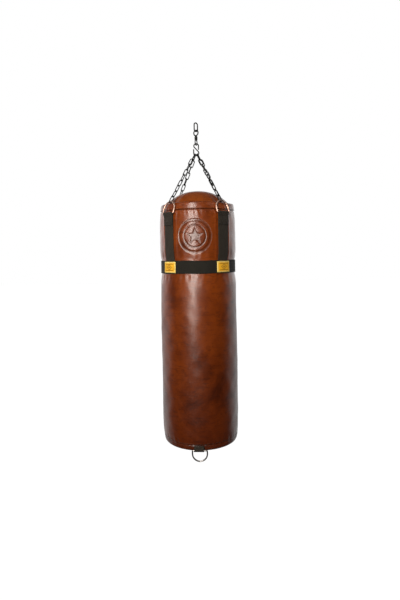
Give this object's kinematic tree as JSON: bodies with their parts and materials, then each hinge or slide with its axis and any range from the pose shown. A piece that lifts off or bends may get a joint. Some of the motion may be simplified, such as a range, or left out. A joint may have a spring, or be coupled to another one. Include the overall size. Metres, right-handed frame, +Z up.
{
  "type": "uppercut bag",
  "caption": "Leather punching bag hung from four chains, an S hook and a swivel, with a webbing harness, D rings and a floor ring.",
  "frame": {"origin": "where the ceiling hook bears, inside the top of the top link", "axes": "+Z up along the bag's axis, front of the bag towards -Y, +X to the viewer's right"},
  "size_m": [0.3076, 0.3157, 1.3158],
  "materials": {
    "brown_leather": "waxed pull-up leather, tan to dark brown, semi-gloss",
    "black_webbing": "heavy black nylon webbing",
    "yellow_weave": "woven label, golden yellow with a pale border",
    "black_steel": "blackened steel, satin",
    "chain_steel": "blackened steel, satin",
    "antique_copper": "antique copper plating",
    "dull_nickel": "dull nickel plating",
    "grey_foam": "closed-cell foam",
    "textile_fill": "shredded textile"
  },
  "bodies": {
    "hanger": {"top_link": "black_steel"},
    "swivel_head": {"swivel_eye": "black_steel"},
    "swivel_body": {"swivel_barrel": "black_steel"},
    "hook": {"s_hook": "black_steel"},
    "bag": {"chain_front_left_link_1": "chain_steel", "chain_front_left_link_2": "chain_steel", "chain_front_left_link_3": "chain_steel", "chain_front_left_link_4": "chain_steel", "chain_front_left_link_5": "chain_steel", "chain_front_left_link_6": "chain_steel", "chain_front_left_link_7": "chain_steel", "chain_front_left_link_8": "chain_steel", "chain_front_left_link_9": "chain_steel", "strap_front_left": "black_webbing", "label_front_left": "yellow_weave", "chain_front_right_link_1": "chain_steel", "chain_front_right_link_2": "chain_steel", "chain_front_right_link_3": "chain_steel", "chain_front_right_link_4": "chain_steel", "chain_front_right_link_5": "chain_steel", "chain_front_right_link_6": "chain_steel", "chain_front_right_link_7": "chain_steel", "chain_front_right_link_8": "chain_steel", "chain_front_right_link_9": "chain_steel", "strap_front_right": "black_webbing", "label_front_right": "yellow_weave", "chain_back_right_link_1": "chain_steel", "chain_back_right_link_2": "chain_steel", "chain_back_right_link_3": "chain_steel", "chain_back_right_link_4": "chain_steel", "chain_back_right_link_5": "chain_steel", "chain_back_right_link_6": "chain_steel", "chain_back_right_link_7": "chain_steel", "chain_back_right_link_8": "chain_steel", "chain_back_right_link_9": "chain_steel", "strap_back_right": "black_webbing", "label_back_right": "yellow_weave", "chain_back_left_link_1": "chain_steel", "chain_back_left_link_2": "chain_steel", "chain_back_left_link_3": "chain_steel", "chain_back_left_link_4": "chain_steel", "chain_back_left_link_5": "chain_steel", "chain_back_left_link_6": "chain_steel", "chain_back_left_link_7": "chain_steel", "chain_back_left_link_8": "chain_steel", "chain_back_left_link_9": "chain_steel", "strap_back_left": "black_webbing", "label_back_left": "yellow_weave", "waist_band": "black_webbing", "bottom_tab": "black_webbing", "leather_shell": "brown_leather", "dome_cap": "brown_leather", "bottom_panel": "brown_leather", "foam_padding": "grey_foam", "filling": "textile_fill"},
    "ring_front_left": {"d_ring_front_left": "antique_copper"},
    "ring_front_right": {"d_ring_front_right": "antique_copper"},
    "ring_back_right": {"d_ring_back_right": "antique_copper"},
    "ring_back_left": {"d_ring_back_left": "antique_copper"},
    "bottom_ring_body": {"bottom_ring": "dull_nickel"}
  },
  "joints": [
    {"name": "top_swing", "type": "hinge", "parent": "hanger", "child": "swivel_head", "pos_m": [0, 0, -0.0325], "axis": [0.788, 0.6157, 0], "range_deg": [-30, 30]},
    {"name": "swivel_turn", "type": "hinge", "parent": "swivel_head", "child": "swivel_body", "pos_m": [0, 0, -0.06], "axis": [0, 0, 1], "continuous": true},
    {"name": "hook_swing", "type": "hinge", "parent": "swivel_body", "child": "hook", "pos_m": [0, 0, -0.088], "axis": [0.5, 0.866, 0], "range_deg": [-30, 30]},
    {"name": "bag_swing", "type": "hinge", "parent": "hook", "child": "bag", "pos_m": [0, 0, -0.1285], "axis": [1, 0, 0], "range_deg": [-15, 15]},
    {"name": "front_left_ring_rock", "type": "hinge", "parent": "bag", "child": "ring_front_left", "pos_m": [-0.11226, -0.10841, -0.374], "axis": [0.6947, -0.7193, 0], "range_deg": [-1.5, 1]},
    {"name": "front_right_ring_rock", "type": "hinge", "parent": "bag", "child": "ring_front_right", "pos_m": [0.10031, -0.11955, -0.374], "axis": [0.766, 0.6428, 0], "range_deg": [-1.5, 1]},
    {"name": "back_right_ring_rock", "type": "hinge", "parent": "bag", "child": "ring_back_right", "pos_m": [0.11955, 0.10031, -0.374], "axis": [-0.6428, 0.766, 0], "range_deg": [-1.5, 1]},
    {"name": "back_left_ring_rock", "type": "hinge", "parent": "bag", "child": "ring_back_left", "pos_m": [-0.10031, 0.11955, -0.374], "axis": [-0.766, -0.6428, 0], "range_deg": [-1.5, 1]},
    {"name": "bottom_ring_swing", "type": "hinge", "parent": "bag", "child": "bottom_ring_body", "pos_m": [-0.00814, -0.15538, -1.268], "axis": [0.9986, -0.0523, 0], "range_deg": [-165, 45]}
  ]
}
